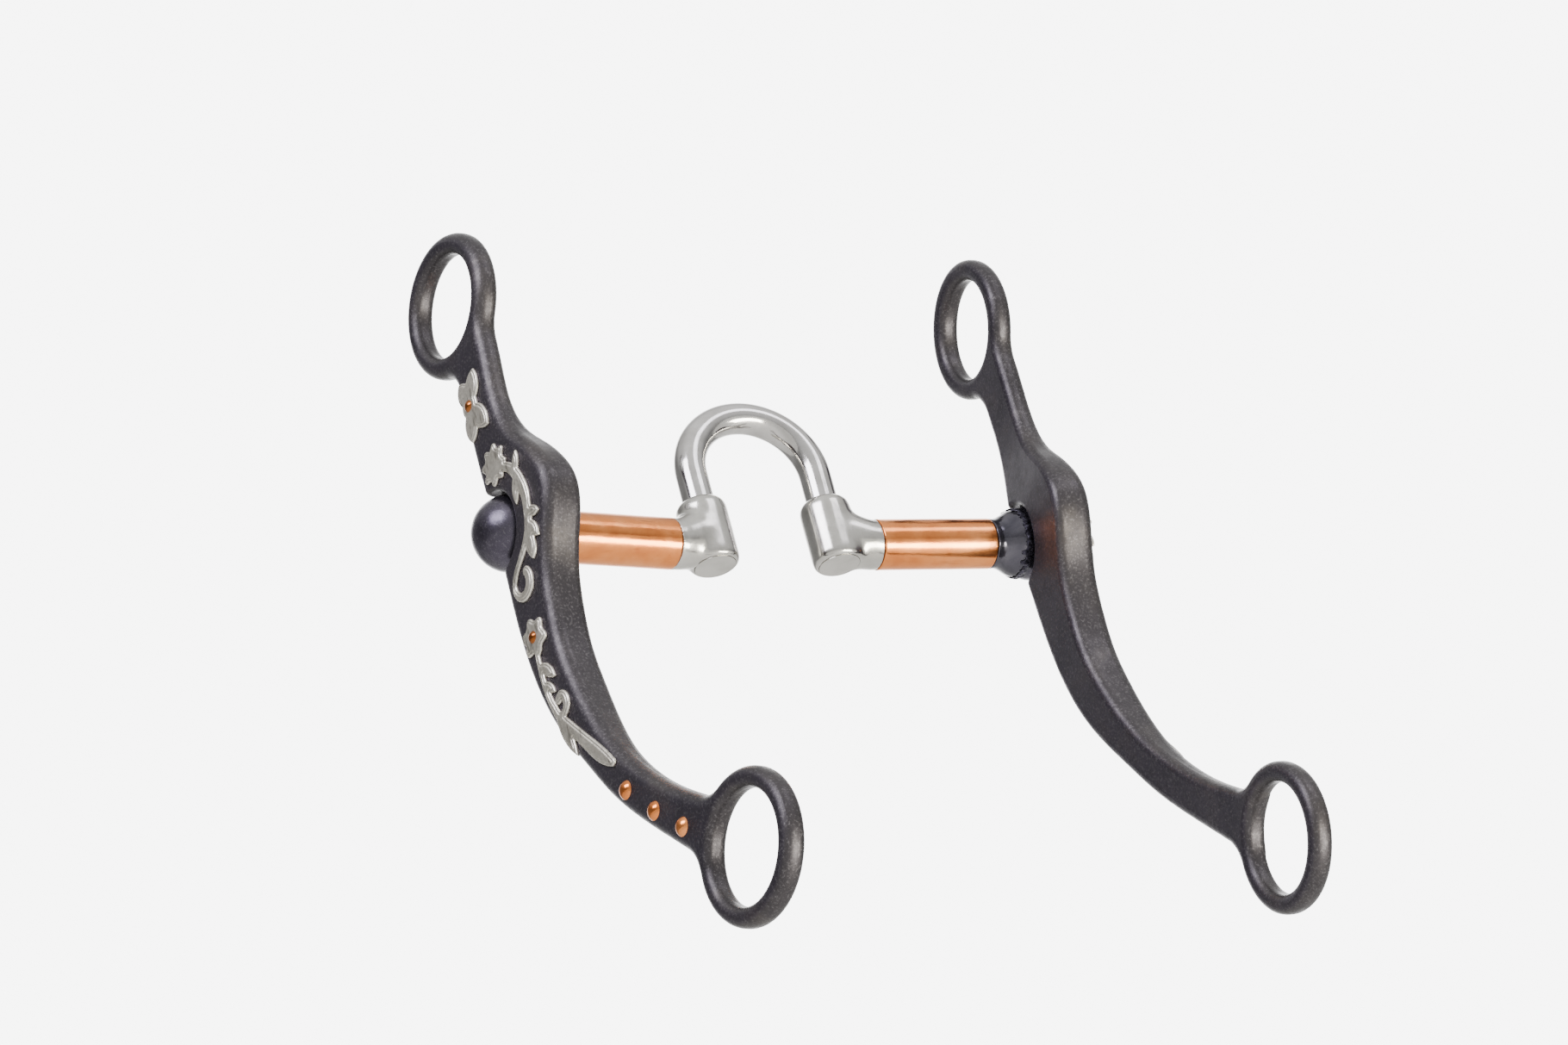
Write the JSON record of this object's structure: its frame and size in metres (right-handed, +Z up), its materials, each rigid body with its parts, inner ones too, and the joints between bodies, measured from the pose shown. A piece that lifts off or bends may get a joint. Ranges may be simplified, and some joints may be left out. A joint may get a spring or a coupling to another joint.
{
  "type": "curb bit",
  "caption": "Loose-cheek curb bit with a hinged correction port, copper-sleeved bars and swept-back shanks carrying scroll overlays on their outer faces.",
  "frame": {"origin": "middle of the mouthpiece, on the axis of its bars, halfway between the two port legs", "axes": "+X to the rider's right along the mouthpiece, +Y forward to the horse's nose, +Z up to the headstall rings"},
  "size_m": [0.1545, 0.1007, 0.2091],
  "materials": {
    "port_steel": "polished stainless steel",
    "bar_steel": "satin stainless steel",
    "copper": "polished copper, lightly scratched",
    "browned_steel": "dark browned steel",
    "weld": "rough dark weld",
    "pin_steel": "plain steel",
    "nickel_silver": "engraved nickel silver"
  },
  "bodies": {
    "centre": {"port": "port_steel", "left_leg_head": "port_steel", "right_leg_head": "port_steel"},
    "left_bar": {"left_mouth_bar": "bar_steel", "left_copper_sleeve": "copper", "left_end_knuckle": "browned_steel", "left_weld_bead": "weld"},
    "left_shank": {"left_cheek": "browned_steel", "left_hinge_pin": "pin_steel", "left_top_flower": "nickel_silver", "left_vine_scroll": "nickel_silver", "left_lower_spray": "nickel_silver", "left_flower_centres": "copper", "left_rein_studs": "copper"},
    "right_bar": {"right_mouth_bar": "bar_steel", "right_copper_sleeve": "copper", "right_end_knuckle": "browned_steel", "right_weld_bead": "weld"},
    "right_shank": {"right_cheek": "browned_steel", "right_hinge_pin": "pin_steel", "right_top_flower": "nickel_silver", "right_vine_scroll": "nickel_silver", "right_lower_spray": "nickel_silver", "right_flower_centres": "copper", "right_rein_studs": "copper"}
  },
  "joints": [
    {"name": "left_port_swivel", "type": "hinge", "parent": "centre", "child": "left_bar", "pos_m": [-0.016, 0, 0], "axis": [0, 0, 1], "range_deg": [-25, 11]},
    {"name": "left_cheek_swing", "type": "hinge", "parent": "left_bar", "child": "left_shank", "pos_m": [-0.06774, -0.00938, 0], "axis": [0, 0, 1], "range_deg": [-28.6, 10.4]},
    {"name": "right_port_swivel", "type": "hinge", "parent": "centre", "child": "right_bar", "pos_m": [0.016, 0, 0], "axis": [0, 0, 1], "range_deg": [-18, 18]},
    {"name": "right_cheek_swing", "type": "hinge", "parent": "right_bar", "child": "right_shank", "pos_m": [0.0685, -0.003, 0], "axis": [0, 0, 1], "range_deg": [-13, 26]}
  ]
}
